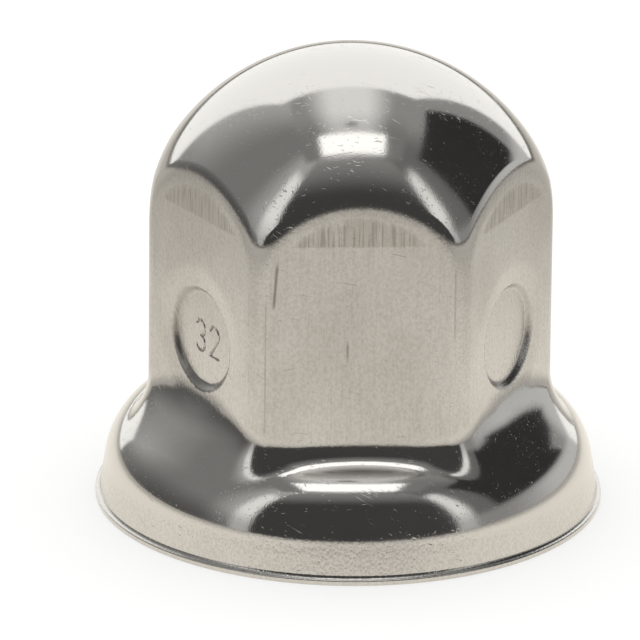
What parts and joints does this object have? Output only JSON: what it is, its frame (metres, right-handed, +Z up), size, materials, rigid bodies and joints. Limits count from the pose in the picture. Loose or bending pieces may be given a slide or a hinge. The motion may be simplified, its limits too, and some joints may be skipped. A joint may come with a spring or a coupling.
{
  "type": "lug nut cover",
  "caption": "Push-on wheel nut cover: hexagonal walls under a round dome, a flared round collar and pressed grip dimples.",
  "frame": {"origin": "centre of the lip's flat underside, at the middle of the mouth", "axes": "+Z up through the dome; -Y is the middle of a plain wall; walls with a grip dimple face 90, 210 and 330 degrees from +X"},
  "size_m": [0.0484, 0.0484, 0.0445],
  "materials": {
    "stainless_steel": "bright drawn stainless sheet, polished dome and collar, satin walls with fine upright draw lines"
  },
  "bodies": {
    "root": {"cover_shell": "stainless_steel"}
  },
  "joints": []
}
